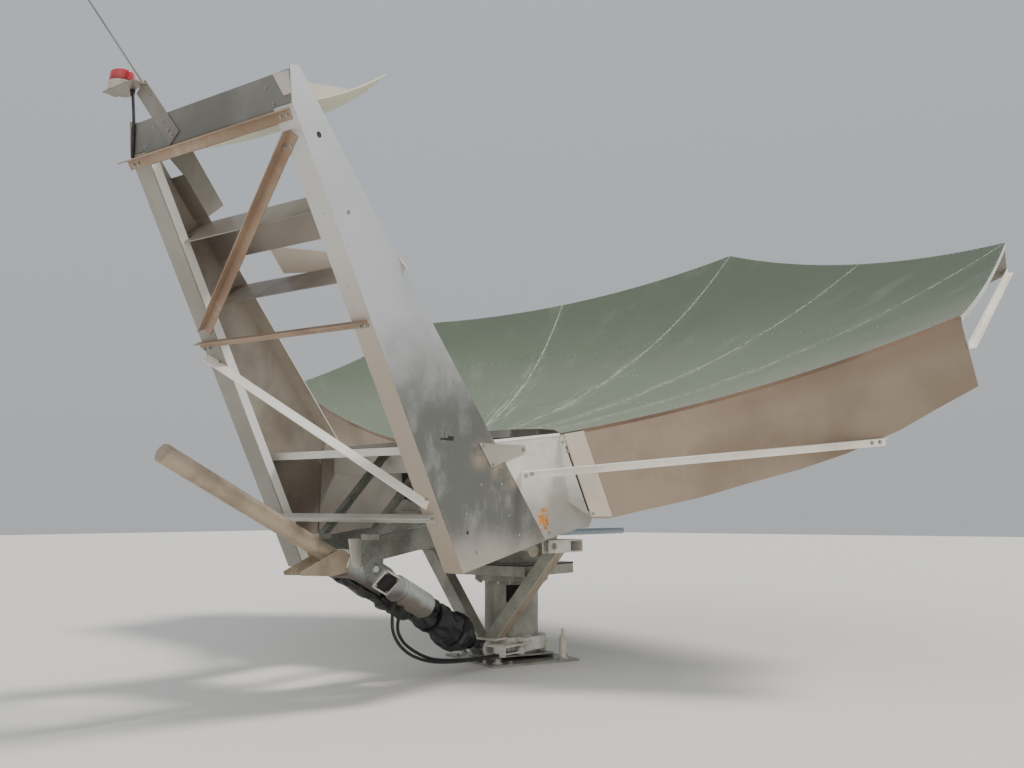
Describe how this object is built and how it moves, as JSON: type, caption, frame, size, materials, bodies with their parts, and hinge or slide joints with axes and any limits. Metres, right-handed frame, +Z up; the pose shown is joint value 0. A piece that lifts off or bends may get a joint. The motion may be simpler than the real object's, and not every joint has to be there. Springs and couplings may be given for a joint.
{
  "type": "offset dual-reflector dish antenna",
  "caption": "Large offset dish antenna: a panelled main reflector and a small subreflector on a twin-beam boom, tilted by a screw jack on a turning kingpost pedestal.",
  "frame": {"origin": "centre of the base plate's underside, on the axis of the turning pedestal, at ground level", "axes": "+Z up, +X from the boom towards the main reflector, the symmetry plane is XZ and the side that the picture shows is -Y"},
  "size_m": [10.3428, 8.5768, 5.8491],
  "materials": {
    "galvanised_steel": "dull galvanised",
    "sheet_aluminium": "weathered sheet",
    "dull_aluminium": "dull, stained",
    "reflector_paint": "matte",
    "cream_paint": "satin",
    "grey_paint": "satin",
    "black_sheet": "matte",
    "bright_steel": "oiled",
    "red_lens": "glossy"
  },
  "bodies": {
    "base": {"base_frame": "galvanised_steel", "kingpost": "galvanised_steel"},
    "azimuth": {"azimuth_head": "galvanised_steel", "cross_tube": "galvanised_steel", "pin_clevis_near": "galvanised_steel", "pin_clevis_far": "galvanised_steel", "leg_near": "galvanised_steel", "leg_far": "galvanised_steel", "jack_foot": "galvanised_steel", "azimuth_motor": "grey_paint", "azimuth_jack_tube": "grey_paint"},
    "elevation": {"hub_plate_near": "sheet_aluminium", "hub_plate_far": "sheet_aluminium", "hub_cross_box": "galvanised_steel", "hub_deck": "sheet_aluminium", "boom_beam_near": "sheet_aluminium", "boom_beam_far": "sheet_aluminium", "angle_top": "dull_aluminium", "angle_upper_diagonal": "dull_aluminium", "angle_middle": "dull_aluminium", "angle_lower_diagonal": "dull_aluminium", "angle_bottom": "dull_aluminium", "top_cross_plate": "sheet_aluminium", "cross_channel_upper": "sheet_aluminium", "cross_channel_lower": "sheet_aluminium", "feed_plate": "sheet_aluminium", "subreflector": "cream_paint", "subreflector_arm_near": "sheet_aluminium", "subreflector_arm_far": "sheet_aluminium", "beacon_bracket": "sheet_aluminium", "beacon_lens": "red_lens", "beacon_cable": "black_sheet", "reflector_panel_1": "reflector_paint", "reflector_panel_2": "reflector_paint", "reflector_panel_3": "reflector_paint", "reflector_panel_4": "reflector_paint", "reflector_panel_5": "reflector_paint", "reflector_panel_6": "reflector_paint", "side_plate_near": "dull_aluminium", "side_plate_far": "dull_aluminium", "rib_1": "dull_aluminium", "rib_2": "dull_aluminium", "rib_3": "dull_aluminium", "rib_4": "dull_aluminium", "rib_5": "dull_aluminium", "hub_drum": "dull_aluminium", "side_strut_near": "dull_aluminium", "side_strut_far": "dull_aluminium", "rim_strut_near": "dull_aluminium", "rim_strut_far": "dull_aluminium", "jack_frame_near": "galvanised_steel", "jack_frame_far": "galvanised_steel"},
    "jack_screw_body": {"jack_screw": "bright_steel", "jack_wrap": "black_sheet"},
    "jack_housing": {"jack_gearbox": "grey_paint", "jack_cover_tube": "galvanised_steel", "jack_boot": "black_sheet", "jack_motor": "grey_paint", "motor_cable_1": "black_sheet", "motor_cable_2": "black_sheet"}
  },
  "joints": [
    {"name": "azimuth_turn", "type": "hinge", "parent": "base", "child": "azimuth", "pos_m": [0, 0, 0.803], "axis": [0, 0, 1], "range_deg": [-60, 60]},
    {"name": "elevation_tilt", "type": "hinge", "parent": "azimuth", "child": "elevation", "pos_m": [-0.48, 0, 1.134], "axis": [0, 1, 0], "range_deg": [0, 25]},
    {"name": "jack_swing", "type": "hinge", "parent": "azimuth", "child": "jack_screw_body", "pos_m": [-0.519, 0, 0.155], "axis": [0, 1, 0], "range_deg": [0, 19.4]},
    {"name": "jack_slide", "type": "slide", "parent": "jack_screw_body", "child": "jack_housing", "axis": [-0.9085, 0, 0.4178], "range_m": [0, 0.37]}
  ],
  "couplings": [
    {"joint": "jack_swing", "follows": "elevation_tilt", "ratio": 0.771},
    {"joint": "jack_slide", "follows": "elevation_tilt", "m_per_rad": 0.84}
  ]
}
